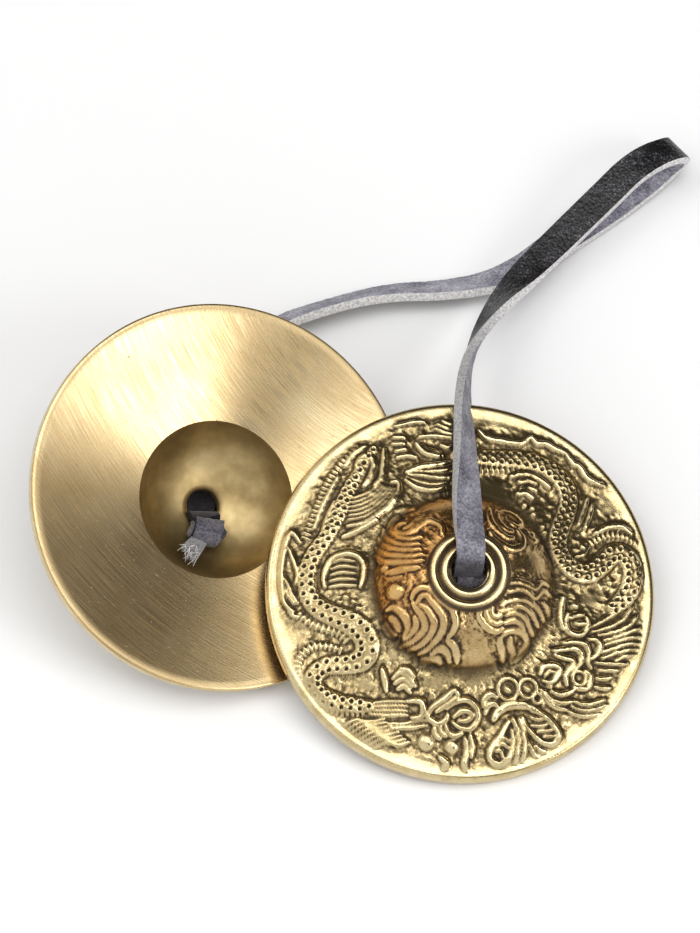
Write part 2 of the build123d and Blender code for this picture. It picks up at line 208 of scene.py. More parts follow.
BOLD_LINES = [
    [(-5.8, -21.9), (-5.3, -20.9), (-4.2, -20.1), (-2.9, -19.2), (-1.7, -18)],
    [(-1.6, -18), (-1.1, -18.8), (-2, -19.9), (-3.4, -20.7), (-4.6, -21.5)],
    [(-6.3, -21.3), (-6, -22.3), (-5, -23), (-4.2, -23.4), (-3, -22.8), (-2.6, -21.8)],
    [(-2.8, -21), (-1.8, -20.2), (-0.3, -19.6), (1, -19.8), (2.2, -21), (2.3, -22.5), (1.2, -24),
     (-0.5, -23.9), (-1.8, -23.1)],
    [(-1.7, -22.3), (0, -21.2), (1.4, -21.8), (0.5, -22.8), (-0.8, -22.8)],
    [(-4.8, -24), (-4.6, -25), (-3.8, -25.7)],
    [(-4, -23.6), (-3.6, -24.7), (-2.8, -25.3)],
    [(-2.9, -23.6), (-2.5, -24.7), (-1.4, -25.2), (-0.2, -24.8)],
    [(0.3, -25.5), (0.6, -27.5), (0.2, -29.5), (0.5, -31)],
    [(1.2, -25), (1.5, -26.8), (1.3, -28.6)],
    [(-3.8, -28.6), (-2.8, -29.6), (-3.2, -31)],
    [(-9.4, -19.8), (-8, -19.7), (-6.9, -20), (-6.7, -21.2), (-7, -22.2), (-8.6, -22.4)],
    [(15, -11), (16.8, -10.6), (18.6, -10.3), (19.7, -11.2), (19.5, -12.5), (18.7, -13.6), (18, -14.9)],
    [(15.2, -11.7), (16.6, -12), (18, -12.2), (18.4, -12.9), (17.6, -13.8), (17, -15), (17.2, -16.4)],
    [(16.5, -9.6), (18.5, -9.2), (20.3, -9.5), (21, -11), (20.8, -12.4), (21.3, -13.4)],
    [(20.3, -13.8), (21.2, -14.8), (20.8, -16.4), (19.6, -16.9), (18.4, -16.6)],
    [(12.6, -15), (13.2, -13.7), (14.8, -13.3), (16, -13.8), (15.6, -15), (14.6, -16), (13.2, -16)],
    [(14.6, -17.6), (16, -18), (17.6, -17.6), (18.4, -17)],
    [(13.4, -17.6), (14.6, -18.9), (16.4, -19.3), (18, -19)],
    [(12.8, -17.4), (13.8, -18.9), (15.5, -20.1), (17.2, -20.4)],
    [(21, -8.6), (22.2, -8.5), (23, -9.5), (22.4, -10.8), (21.4, -11.8)],
    [(17.4, -4.6), (17, -6), (17.3, -7.4), (18.4, -8), (19.8, -7.8), (20.8, -6.4), (20.6, -5)],
    [(17.7, -5.4), (18.6, -4.8), (20, -4.6)],
    [(18.8, -6.2), (20.4, -6)],
    [(16.6, -2), (16.3, -4), (16.2, -6), (16.6, -7.4)],
    [(-13.5, -14.5), (-13, -16.5), (-12.7, -18.2)],
    [(-11.8, -16.2), (-10.5, -15.3), (-9, -16.2), (-8, -17.5)],
    [(-11.5, -17), (-10, -16.3), (-8.6, -17.5)],
    [(-11, -17.9), (-9.8, -17.4), (-8.8, -18.5)],
    [(-10.5, -14.6), (-9.3, -15), (-8.3, -16)],
    [(8.2, 19), (9.6, 19.6), (11.6, 19.6), (13.6, 18.6), (14.8, 17.4)],
    [(9.5, 18), (11, 18.5), (12.5, 18)],
    [(9.8, 16.8), (11.2, 17.2), (12.4, 16.6)],
    [(9.2, 15.8), (10.6, 16.2), (11.8, 15.2)],
    [(-19.2, 9.8), (-16.5, 10.3), (-14, 11.8), (-12, 13.6), (-10.6, 16), (-10.7, 17.6), (-11.8, 17.6)],
    [(-20, 7.9), (-18, 8.8), (-16.5, 9.6), (-14.4, 10.8)],
    [(-22.9, -0.6), (-23, 1.5), (-22, 3.8), (-20.2, 4.9), (-18, 4.7), (-16.7, 3.2), (-16.7, 1), (-17.2, -1)],
    [(-26.8, 7.2), (-28, 8.9), (-29, 8.2), (-29.6, 6), (-30, 3), (-30, 0), (-29.4, -3), (-28, -4.6)],
    [(-17.6, 20.5), (-16.8, 22), (-15.4, 22.4), (-14.6, 21), (-15.2, 18.8), (-16.4, 17)],
    [(-12.8, 23.8), (-13, 21), (-13.4, 18.6), (-14.6, 17)],
    [(3, 27.4), (4.5, 26), (7, 25.6), (10, 25.3), (12, 26.6)],
    [(12, 26.4), (13, 25.4), (14.4, 25.4), (16, 24.6), (18, 23.7)],
    [(18, 23.5), (19, 22), (20, 21.6), (21, 20), (22.2, 19), (24.5, 18.6)],
    [(22.5, 9.8), (24.5, 11), (27, 11.2), (29, 10.4)],
    [(3.2, -20.6), (3.4, -19.4), (4.4, -18.6), (5.5, -19)],
    [(3.5, -21.7), (4, -20.4), (5, -20), (5.6, -20.5)],
    [(11.2, -20.9), (13, -21.3), (14.6, -22.6), (15.8, -24.3), (15.3, -25.8), (13.6, -26), (12, -25),
     (10.4, -23.4), (9.8, -22)],
    [(8.2, -22.2), (8.9, -24), (9.1, -26), (8.9, -28), (8.7, -29.3)],
    [(9.3, -22.2), (10, -24.5), (10.2, -27), (9.8, -29)],
    [(7.6, -22.6), (6.9, -23.6), (6.2, -25), (5.2, -26.2), (4.4, -27.6), (4.6, -28.9), (6, -29.8), (7, -29.2),
     (7.8, -28), (8.2, -26), (8, -24)],
    [(-7.5, 24.8), (-6.3, 23.4), (-4.8, 22.7), (-3.6, 22.4)],
    [(-9.3, 19.4), (-7, 20.4), (-4, 20.9), (-1.5, 21.4)],
    [(-9.5, 18), (-7.5, 16.6), (-5, 16.1), (-3, 16.6)],
]
FINE_LINES = [
    [(-12.3, -23.3), (-9.5, -23.3), (-7, -22.8), (-4.8, -23)],
    [(-12, -24), (-9, -24), (-6, -23.6)],
    [(18.2, -18.9), (20, -19.4), (22, -19), (23.6, -18.4)],
    [(18, -19.8), (20, -20.4), (22.5, -19.9), (24, -19.2)],
    [(17.2, -20.4), (18.4, -21), (20.4, -21.3), (23, -20.8)],
    [(21.2, -6.6), (23.5, -5.2), (26, -3.4), (27.5, -1.5)],
    [(21.6, -7.3), (24.5, -6.2), (27, -4.6), (28.5, -2.6)],
    [(22.6, -7.8), (25.5, -6.9), (28, -5.6), (29.3, -4)],
    [(23.4, -8.6), (26, -7.6), (28.4, -6.6), (29.8, -6)],
    [(23.4, -9.4), (26.2, -8.3), (29.8, -7.4)],
    [(22.6, -10.8), (24.8, -9.9), (27, -9), (29.8, -8.6)],
    [(23.2, -11.6), (25.6, -10.5), (28, -9.8), (29.6, -9.6)],
    [(25.4, -11.9), (27, -11), (29.2, -10.6)],
    [(22.2, -12.4), (24, -12.4), (26, -12.4), (27.6, -12.2)],
    [(22.6, -13.6), (24.6, -13.5), (26, -13.4)],
    [(22.2, -15), (23.6, -15), (24.8, -14.6)],
    [(22, -16.4), (23.4, -16.6), (24.6, -16.4)],
    [(13.4, -15.3), (14.2, -14.4), (15.2, -14.4)],
    [(-28.8, 6.5), (-28, 4.5), (-27.3, 2), (-27.6, 0)],
    [(-29.8, 1.6), (-28.9, 0.2), (-28.2, -1.4), (-27.3, -3.2)],
    [(-29.6, -0.2), (-28.9, -1.6), (-27.8, -3.4)],
    [(-29, -3.6), (-28.2, -5), (-27.2, -5.6)],
    [(-8, 19.6), (-5, 19.7), (-1.6, 20)],
    [(-9, 19), (-6.5, 18.9), (-4, 18.5), (-1.8, 18.4)],
    [(-9.3, 18.6), (-7, 17.6), (-4.5, 17.2), (-2, 17.6)],
    [(-6.4, 24.6), (-5.6, 23.8), (-3.8, 23.3), (-3, 22.4)],
    [(-7, 26), (-5, 26.3), (-3, 26.2), (-1.2, 25.9)],
    [(-3.4, 24.6), (-2.2, 24.2), (-1.2, 24.6)],
    [(-11.3, 25.9), (-9.4, 25.9)],
    [(-11.5, 24.7), (-9.4, 24.8)],
    [(-11, 23.4), (-9.2, 23.8)],
    [(-10.8, 22.2), (-9, 22.6), (-7.4, 22.2)],
    [(-4.2, 27.6), (-2.6, 26.9), (-0.8, 26.6)],
    [(-3.8, 28.4), (-2.2, 27.7), (-0.8, 27.4)],
    [(-3, 29), (-1.8, 28.5), (-0.8, 28.3)],
    [(-11, 28), (-8, 28.8), (-6, 28.7)],
    [(5.3, -27.6), (6.2, -27.4), (6.6, -28.6)],
    [(5.9, -25.8), (6.8, -25.4), (7.6, -25.9)],
    [(5.4, -26.8), (6.6, -26.3), (7.5, -27)],
    [(11.2, -21.9), (12.4, -22.2), (13.4, -22)],
    [(11.2, -23.2), (12.6, -23.2), (14, -22.9)],
    [(12, -24.2), (13.4, -24), (14.8, -23.8)],
    [(13, -25), (14.2, -24.8), (15.2, -24.8)],
    [(10.8, -25.6), (11.4, -27.2), (12.4, -28.4)],
    [(12, -26.4), (12.8, -27.2), (13.8, -27.4)],
    [(19.6, 11), (20.6, 13.4), (21.4, 16)],
    [(20.8, 10.6), (21.6, 12.8), (22.2, 15)],
    [(21.2, 7.6), (20.4, 6), (19.2, 5.4)],
    [(14.2, -18), (13.4, -19), (13.2, -20)],
    [(-24.6, 9.6), (-23.4, 13), (-22, 16), (-20.4, 19)],
    [(-23.4, 8.6), (-22.4, 11.5), (-21.2, 14.5)],
    [(-19.5, 20.5), (-18, 22.8), (-16, 24.4)],
]
SHEAVES = [
    (8, [(-19.5, -23.6), (-17.5, -22.6), (-15.5, -22.9), (-13, -22.6)],
     [(-15, -27.4), (-12.8, -26.4), (-10.6, -26.8), (-8.8, -26.2)]),
    (4, [(-15.4, -20), (-13, -19.8), (-10.8, -19.8), (-9.4, -19.9)],
     [(-15.4, -21.8), (-13, -22), (-10.8, -22), (-9.2, -22)]),
    (6, [(-19, 11), (-16.4, 11.5), (-14, 12.9), (-12, 15), (-11.2, 16.6)],
     [(-18.5, 14.8), (-17, 15.3), (-15.6, 15.9), (-14.4, 16.7), (-13.4, 17.3)]),
    (5, [(-21.8, 3.4), (-20.2, 4), (-18.2, 3.6)],
     [(-22.2, -0.6), (-20.2, -0.4), (-17.9, -0.6)]),
]
LUMPS = [
    (-6, -26.2, 1.6), (-1.8, -26.9, 1.4), (14.3, -16.7, 0.8), (7.3, -17.8, 0.8), (10.6, -17.5, 0.7),
    (10.5, 14, 0.5), (11.8, 13.5, 0.5), (12, 12.4, 0.5), (13.5, 10.2, 0.5), (13.8, 9.2, 0.5),
    (-19.6, -2.4, 0.6), (-18.4, -3.2, 0.5), (-20.6, -3.2, 0.5), (-17.6, -4.4, 0.5), (18.8, -3.2, 0.7),
    (0, -22.1, 0.5),
]
RINGS = [
    (7.3, -17.6, 1.7), (10.6, -17.3, 1.5), (12.2, -18.8, 0.8), (19.3, -15.1, 1.1),
]
JEWEL_BAND = [
    [(4.9, -22.6), (5.6, -21.4), (7, -20.4), (9, -20), (11, -20.2), (12.5, -21)],
]

PLAN_CELL, PLAN_REACH = 0.08, 32.0
plan = np.arange(-PLAN_REACH, PLAN_REACH + 2 * PLAN_CELL, PLAN_CELL)
heights = np.zeros((len(plan), len(plan)))


def patch(place, radius):
    """The rows and columns of the plan round a place, and each one's distance as a share of the radius."""
    columns = slice(*np.searchsorted(plan, (place[0] - radius, place[0] + radius)))
    rows = slice(*np.searchsorted(plan, (place[1] - radius, place[1] + radius)))
    return rows, columns, np.hypot(plan[columns] - place[0], plan[rows][:, None] - place[1]) / radius


def raise_dab(place, radius, edge, crown):
    """A rounded dab of wax: as high as its crown in the middle and as high as its edge round it."""
    rows, columns, share = patch(place, radius)
    dab = np.where(share < 1, edge + (crown - edge) * np.sqrt(np.clip(1 - share**2, 0, 1)), 0)
    heights[rows, columns] = np.maximum(heights[rows, columns], dab)


def walk(points, pace=0.07):
    """Places at an even pace along the smooth line through some points, each with its share of the way."""
    points = np.array(points, float)
    padded = np.vstack([2 * points[0] - points[1], points, 2 * points[-1] - points[-2]])
    line = []
    for a, b, c, d in zip(padded, padded[1:], padded[2:], padded[3:]):
        for t in np.arange(0, 1, 0.125):
            bend = (2 * a - 5 * b + 4 * c - d) * t**2 + (3 * b - a - 3 * c + d) * t**3
            line.append(b + 0.5 * ((c - a) * t + bend))
    line = np.array(line + [points[-1]])
    steps = np.append(0, np.cumsum(np.linalg.norm(np.diff(line[:, :2], axis=0), axis=1)))
    marks = np.linspace(0, steps[-1], max(2, round(steps[-1] / pace)))
    return np.array([np.interp(marks, steps, line[:, k]) for k in range(line.shape[1])]).T, marks


def raise_line(points, half_width, crown):
    """A rolled thread of wax, thinner at its two ends."""
    places, marks = walk(points)
    for place, mark in zip(places, marks / marks[-1]):
        raise_dab(place, half_width * (0.5 + 0.5 * sin(pi * mark) ** 0.5), 0.3 * crown, crown)


def across(places, k):
    way = places[min(k + 1, len(places) - 1), :2] - places[max(k - 1, 0), :2]
    return np.array((-way[1], way[0])) / np.hypot(*way)


SCALE_SPACING, SCALE_RADIUS, PLATE_SPACING, PLATE_REACH = 1.45, 0.72, 0.8, 0.6
BODY_EDGE, BODY_CROWN, STRIP_CROWN = 0.34, 0.54, 0.3
PLATE_STROKE, CLOUD_STROKE, BOLD_STROKE = (0.33, 0.42), (0.72, 0.42), (0.68, 0.62)
FINE_STROKE, SHEAF_STROKE, JEWEL_STROKE = (0.52, 0.5), (0.46, 0.48), (0.95, 0.65)
RING_DAB = (0.42, 0.15, 0.58)
for dragon in (LEFT_DRAGON, RIGHT_DRAGON):
    places, _ = walk(dragon)
    for u, v, half_width in places:
        raise_dab((u, v), half_width, BODY_EDGE, BODY_CROWN)
for strip in BELLY_STRIPS:
    places, _ = walk(strip, PLATE_SPACING)
    raise_line(strip, PLATE_REACH, STRIP_CROWN)
    for k, place in enumerate(places):
        side = across(places, k) * PLATE_REACH
        raise_line((place - side, place + side), *PLATE_STROKE)
for line in CLOUD_LINES:
    raise_line(line, *CLOUD_STROKE)
for line in BOLD_LINES:
    raise_line(line, *BOLD_STROKE)
for line in FINE_LINES:
    raise_line(line, *FINE_STROKE)
for count, first, last in SHEAVES:
    for share in np.linspace(0, 1, count):
        raise_line(np.array(first) * (1 - share) + np.array(last) * share, *SHEAF_STROKE)
for line in JEWEL_BAND:
    raise_line(line, *JEWEL_STROKE)
for u, v, radius in LUMPS + CLOUD_LUMPS:
    raise_dab((u, v), radius, 0.05, min(0.65, 0.25 + 0.3 * radius))
for u, v, radius in RINGS:
    for turn in np.linspace(0, 2 * pi, 90):
        raise_dab((u + radius * cos(turn), v + radius * sin(turn)), *RING_DAB)
for dragon in (LEFT_DRAGON, RIGHT_DRAGON):
    places, _ = walk(dragon, SCALE_SPACING)
    for k, (u, v, half_width) in enumerate(places):
        for row in (-0.46, 0.46) if half_width > 1.15 else (0,):
            scale = (u, v) + across(places, k) * row * half_width
            rows, columns, share = patch(scale, SCALE_RADIUS)
            ring_height = 0.14 * np.exp(-(((share - 0.66) / 0.2) ** 2))
            heights[rows, columns] += ring_height - 0.42 * np.exp(-((share / 0.36) ** 2))


def blurred(grid, reach):
    """The plan averaged over a square of cells, twice over."""
    kernel = np.ones(2 * reach + 1) / (2 * reach + 1)
    for axis in (0, 1, 0, 1):
        grid = np.apply_along_axis(np.convolve, axis, grid, kernel, "same")
    return grid


rough_casting = np.random.default_rng(5)
near_relief = np.clip(blurred(heights, 18) / 0.1, 0, 1)
heights = np.maximum(heights, 0.22 * np.clip(blurred(heights, 8) / 0.3, 0, 1))
bare = np.clip(1 - heights / 0.3, 0.25, 1)
for reach, size in ((1, 0.03), (4, 0.06)):
    lumps = blurred(rough_casting.normal(size=heights.shape), reach)
    heights += near_relief * bare * size * lumps / lumps.std()
CREST_HEIGHT, CREVICE_DEPTH = 0.45, 0.13
GROUND_WEAR, CREST_WEAR, CREVICE_DIRT, BELL_DIRT, PLAIN_WEAR = 0.58, 0.34, 0.5, 0.35, 0.66
crest = np.clip((heights - blurred(heights, 10)) / CREST_HEIGHT, 0, 1)
crevice = np.clip((blurred(heights, 4) - heights) / CREVICE_DEPTH, 0, 1)
wear = np.clip(GROUND_WEAR + CREST_WEAR * crest - CREVICE_DIRT * crevice, 0, 1)


def read_plan(grid, u, v):
    row, column = (v + PLAN_REACH) / PLAN_CELL, (u + PLAN_REACH) / PLAN_CELL
    i, j = row.astype(int), column.astype(int)
    f, g = row - i, column - j
    low, high = grid[i, j] * (1 - g) + grid[i, j + 1] * g, grid[i + 1, j] * (1 - g) + grid[i + 1, j + 1] * g
    return low * (1 - f) + high * f


count = len(cymbal_mesh.vertices)
points, normals = np.empty(count * 3), np.empty(count * 3)
cymbal_mesh.vertices.foreach_get("co", points)
cymbal_mesh.vertex_normals.foreach_get("vector", normals)
points, normals = points.reshape(-1, 3) / MM, normals.reshape(-1, 3)
radius = np.hypot(points[:, 0], points[:, 1])
face_level = np.interp(radius, [p.x for p in outside] + [shoulder[0]], [p.y for p in outside] + [shoulder[1]])
cast = (np.abs(points[:, 2] - face_level) < 0.05) & (radius > RING_RADIUS - 0.01) & (radius < shoulder[0])
u, v = points[cast, 0], points[cast, 1]
RELIEF_GAIN = 1.6
ground = np.interp(radius[cast], [6.7, 7.2, 14.9, 15.6, 24, 30, 31.5], [0, 0.6, 0.6, 0.8, 0.65, 0.25, 0])
show = np.interp(radius[cast], [6.7, 7.1, 29.6, 31.2], [0, 1, 1, 0])
points[cast] += normals[cast] * (RELIEF_GAIN * read_plan(heights, u, v) * show - ground)[:, None]
cymbal_mesh.vertices.foreach_set("co", (points * MM).ravel())
BRUSH_CENTRE, WARM_SIDE_RUN = (48, -58), 28
worn = np.full(count, PLAIN_WEAR)
bell_dirt = np.where(radius[cast] < DOME_RADIUS, BELL_DIRT, 0) * read_plan(crevice, u, v)
worn[cast] = np.clip(read_plan(wear, u, v) - bell_dirt, 0, 1) * show + PLAIN_WEAR * (1 - show)
gap = np.minimum(np.abs(radius - outer_bead_end + BEAD_GAP / 2), np.abs(radius - RING_RADIUS))
bead = (radius < RING_RADIUS + 0.3) & (points[:, 2] > BOWL_TOP + 0.5)
worn[bead] = np.interp(gap[bead], [0.1, 0.35, 0.7], [0.15, 0.45, 0.72])
worn *= np.where(cast, np.interp(radius - DOME_RADIUS, [-1.2, 0, 1.6], [1, 0.6, 1]), 1)
# The bell's warm colour grows towards one side of the plan, where y is high and x is low.
warm_side = np.clip(0.5 + (points[:, 1] - points[:, 0]) / WARM_SIDE_RUN, 0.25, 0.85)
dome_fade = [RING_RADIUS, RING_RADIUS + 0.6, DOME_RADIUS - 0.6, DOME_RADIUS + 0.4]
on_dome = warm_side * np.interp(radius, dome_fade, [0.3, 1, 1, 0])
reach = points[:, :2] - BRUSH_CENTRE
brushing = np.column_stack(
    [np.hypot(*reach.T), np.arctan2(reach[:, 1], reach[:, 0]) * np.hypot(*BRUSH_CENTRE), points[:, 2]]
)
cymbal_mesh.attributes.new("worn", "FLOAT", "POINT").data.foreach_set("value", worn)
cymbal_mesh.attributes.new("dome", "FLOAT", "POINT").data.foreach_set("value", on_dome)
cymbal_mesh.attributes.new("brushing", "FLOAT_VECTOR", "POINT").data.foreach_set("vector", brushing.ravel())
cymbal_mesh.update()

middles = np.empty(len(cymbal_mesh.polygons) * 3)
cymbal_mesh.polygons.foreach_get("center", middles)
middles = middles.reshape(-1, 3) / MM
radius, level = np.hypot(middles[:, 0], middles[:, 1]), middles[:, 2]
outside_level = np.interp(radius, [p.x for p in outside], [p.y for p in outside])
in_bowl = (radius < MOUTH_RADIUS) & (level < outside_level - 1.1)
in_flange = level < np.interp(radius, [MOUTH_RADIUS, lip_inside[0]], [MOUTH_DEPTH, 0]) + 0.25
finish = np.where(in_bowl, 2, np.where(in_flange & (radius > MOUTH_RADIUS - 0.1), 1, 0))
cymbal_mesh.polygons.foreach_set("material_index", finish.astype(np.int32))


def linear(hex_colour):
    """An sRGB hex colour as the linear colour that shaders take."""
    channels = [int(hex_colour[i : i + 2], 16) / 255 for i in (1, 3, 5)]
    return [c / 12.92 if c <= 0.04045 else ((c + 0.055) / 1.055) ** 2.4 for c in channels] + [1]


def add_node(tree, kind, settings={}, inputs={}, stops={}):
    """One shader node, with its settings, its inputs as values or as the sockets that feed them, and, for a
    ramp, the colours at its stops."""
    node = tree.nodes.new(kind)
    for name, value in settings.items():
        setattr(node, name, value)
    for name, value in inputs.items():
        if isinstance(value, bpy.types.NodeSocket):
            tree.links.new(value, node.inputs[name])
        else:
            node.inputs[name].default_value = value
    for count, (place, colour) in enumerate(stops.items()):
        elements = node.color_ramp.elements
        stop = elements[count] if count < 2 else elements.new(place)
        stop.position, stop.color = place, linear(colour)
    return node


# Cast brass, darkened and rubbed: near-black brown and dull in the hollows, pale and bright on the crests.
# The bell is a warmer bronze colour than the flange, most of all towards one side of it.
BLOTCH, GRIT = 3.0, 0.3
patina = bpy.data.materials.new("rubbed_cast_brass")
patina.use_nodes = True
tree = patina.node_tree
shader = tree.nodes["Principled BSDF"]
where = add_node(tree, "ShaderNodeTexCoord").outputs["Object"]
rubbed = add_node(tree, "ShaderNodeAttribute", {"attribute_name": "worn"}).outputs["Fac"]
bell = add_node(tree, "ShaderNodeAttribute", {"attribute_name": "dome"}).outputs["Fac"]
blotches = add_node(
    tree, "ShaderNodeTexNoise", {}, {"Vector": where, "Scale": 1 / (BLOTCH * MM), "Detail": 4}
)
grit = add_node(tree, "ShaderNodeTexNoise", {}, {"Vector": where, "Scale": 1 / (GRIT * MM), "Detail": 2})
shift = add_node(
    tree, "ShaderNodeMath", {"operation": "MULTIPLY_ADD"}, {0: blotches.outputs["Fac"], 1: 0.3, 2: -0.15}
)
speck = add_node(
    tree, "ShaderNodeMath", {"operation": "MULTIPLY_ADD"}, {0: grit.outputs["Fac"], 1: 0.24, 2: -0.12}
)
mottled = add_node(tree, "ShaderNodeMath", {}, {0: shift.outputs[0], 1: speck.outputs[0]})
tone = add_node(tree, "ShaderNodeMath", {"use_clamp": True}, {0: rubbed, 1: mottled.outputs[0]})
flange_colour = add_node(
    tree,
    "ShaderNodeValToRGB",
    {},
    {"Fac": tone.outputs[0]},
    {0.12: "#2b2319", 0.36: "#64553a", 0.55: "#b5a073", 0.78: "#e4d3a5", 1.0: "#f8efcd"},
)
bell_colour = add_node(
    tree,
    "ShaderNodeValToRGB",
    {},
    {"Fac": tone.outputs[0]},
    {0.1: "#2e1e11", 0.34: "#78502a", 0.55: "#c08c4c", 0.78: "#e4b873", 1.0: "#f5dfaa"},
)
colour = add_node(
    tree,
    "ShaderNodeMix",
    {"data_type": "RGBA"},
    {0: bell, 6: flange_colour.outputs["Color"], 7: bell_colour.outputs["Color"]},
)
metal = add_node(
    tree, "ShaderNodeMapRange", {}, {"Value": tone.outputs[0], 1: 0.1, 2: 0.5, 3: 0.45, 4: 1.0}
)
sheen = add_node(
    tree, "ShaderNodeMapRange", {}, {"Value": tone.outputs[0], 1: 0.15, 2: 0.75, 3: 0.55, 4: 0.16}
)
dents = add_node(
    tree,
    "ShaderNodeBump",
    {},
    {"Strength": 0.35, "Distance": 0.06 * MM, "Height": grit.outputs["Fac"]},
)
tree.links.new(colour.outputs[2], shader.inputs["Base Color"])
tree.links.new(metal.outputs[0], shader.inputs["Metallic"])
tree.links.new(sheen.outputs[0], shader.inputs["Roughness"])
tree.links.new(dents.outputs[0], shader.inputs["Normal"])

# Belt-brushed brass: fine scratches, drawn about twice as coarse as they are so that they show, which smear
# the lamps into a broad satin sheen, and a few bright or dull pinholes.
SCRATCH, SCRATCH_RUN, CLOUD, PINHOLE = 0.22, 9.0, 14.0, 0.5
brushed = bpy.data.materials.new("brushed_brass")
brushed.use_nodes = True
tree = brushed.node_tree
shader = tree.nodes["Principled BSDF"]
shader.inputs["Metallic"].default_value = 1
where = add_node(tree, "ShaderNodeTexCoord").outputs["Object"]
brushing = add_node(tree, "ShaderNodeAttribute", {"attribute_name": "brushing"}).outputs["Vector"]
along = add_node(
    tree, "ShaderNodeMapping", {}, {"Vector": brushing, "Scale": (1 / SCRATCH, 1 / SCRATCH_RUN, 0)}
)
scratches = add_node(tree, "ShaderNodeTexNoise", {}, {"Vector": along.outputs[0], "Scale": 1, "Detail": 3})
clouds = add_node(tree, "ShaderNodeTexNoise", {}, {"Vector": where, "Scale": 1 / (CLOUD * MM), "Detail": 3})
pinholes = add_node(
    tree, "ShaderNodeTexNoise", {}, {"Vector": where, "Scale": 1 / (PINHOLE * MM), "Detail": 1}
)
mixed = add_node(
    tree,
    "ShaderNodeMath",
    {"operation": "MULTIPLY"},
    {0: clouds.outputs["Fac"], 1: 0.5},
)
toned = add_node(
    tree,
    "ShaderNodeMath",
    {"operation": "MULTIPLY_ADD"},
    {0: scratches.outputs["Fac"], 1: 0.5, 2: mixed.outputs[0]},
)
colour = add_node(
    tree,
    "ShaderNodeValToRGB",
    {},
    {"Fac": toned.outputs[0]},
    {0.3: "#a98f63", 0.5: "#c9b083", 0.7: "#e0cda2"},
)
gloss = add_node(
    tree, "ShaderNodeMapRange", {}, {"Value": scratches.outputs["Fac"], 1: 0.3, 2: 0.7, 3: 0.32, 4: 0.2}
)
grooves = add_node(
    tree,
    "ShaderNodeBump",
    {},
    {"Strength": 0.3, "Distance": 0.03 * MM, "Height": scratches.outputs["Fac"]},
)
pits = add_node(
    tree,
    "ShaderNodeMapRange",
    {},
    {"Value": pinholes.outputs["Fac"], 1: 0.74, 2: 0.8, 3: 0.0, 4: 1.0},
)
pitted = add_node(
    tree,
    "ShaderNodeBump",
    {"invert": True},
    {"Strength": 0.5, "Distance": 0.1 * MM, "Height": pits.outputs[0], "Normal": grooves.outputs[0]},
)
tree.links.new(colour.outputs["Color"], shader.inputs["Base Color"])
tree.links.new(gloss.outputs[0], shader.inputs["Roughness"])
tree.links.new(pitted.outputs[0], shader.inputs["Normal"])

# The hollow of the bell is brass as cast, only cleaned: browner and duller than the brushed flange, with soft
# stains and a fine grain.
STAIN, CAST_GRAIN = 5.0, 0.5
hollow = bpy.data.materials.new("cleaned_cast_brass")
hollow.use_nodes = True
tree = hollow.node_tree
shader = tree.nodes["Principled BSDF"]
shader.inputs["Metallic"].default_value = 1
where = add_node(tree, "ShaderNodeTexCoord").outputs["Object"]
stains = add_node(tree, "ShaderNodeTexNoise", {}, {"Vector": where, "Scale": 1 / (STAIN * MM), "Detail": 5})
grain = add_node(
    tree, "ShaderNodeTexNoise", {}, {"Vector": where, "Scale": 1 / (CAST_GRAIN * MM), "Detail": 2}
)
colour = add_node(
    tree,
    "ShaderNodeValToRGB",
    {},
    {"Fac": stains.outputs["Fac"]},
    {0.3: "#917c54", 0.52: "#b09a6c", 0.72: "#ccb686"},
)
gloss = add_node(
    tree, "ShaderNodeMapRange", {}, {"Value": stains.outputs["Fac"], 1: 0.3, 2: 0.7, 3: 0.55, 4: 0.42}
)
skin = add_node(
    tree,
    "ShaderNodeBump",
    {},
    {"Strength": 0.3, "Distance": 0.05 * MM, "Height": grain.outputs["Fac"]},
)
tree.links.new(colour.outputs["Color"], shader.inputs["Base Color"])
tree.links.new(gloss.outputs[0], shader.inputs["Roughness"])
tree.links.new(skin.outputs[0], shader.inputs["Normal"])


def stand(lip, bell):
    """The place of a cymbal: its lip's centre, and its own Z along the bell."""
    up = Vector(bell).normalized()
    right = (Vector((1, 0, 0)) - up * up.x).normalized()
    axes = Matrix((right, up.cross(right), up)).transposed().to_4x4()
    return Matrix.Translation(Vector(lip) * MM) @ axes


for name, lip, bell in (("left_cymbal", LEFT_LIP, LEFT_BELL), ("right_cymbal", RIGHT_LIP, RIGHT_BELL)):
    casting = bpy.data.objects.new(f"{name}_casting", cymbal_mesh.copy())
    casting.data.transform(stand(lip, bell))
    for material in (patina, brushed, hollow):
        casting.data.materials.append(material)
    bpy.context.scene.collection.objects.link(casting)
    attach(casting, name)
    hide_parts(name)

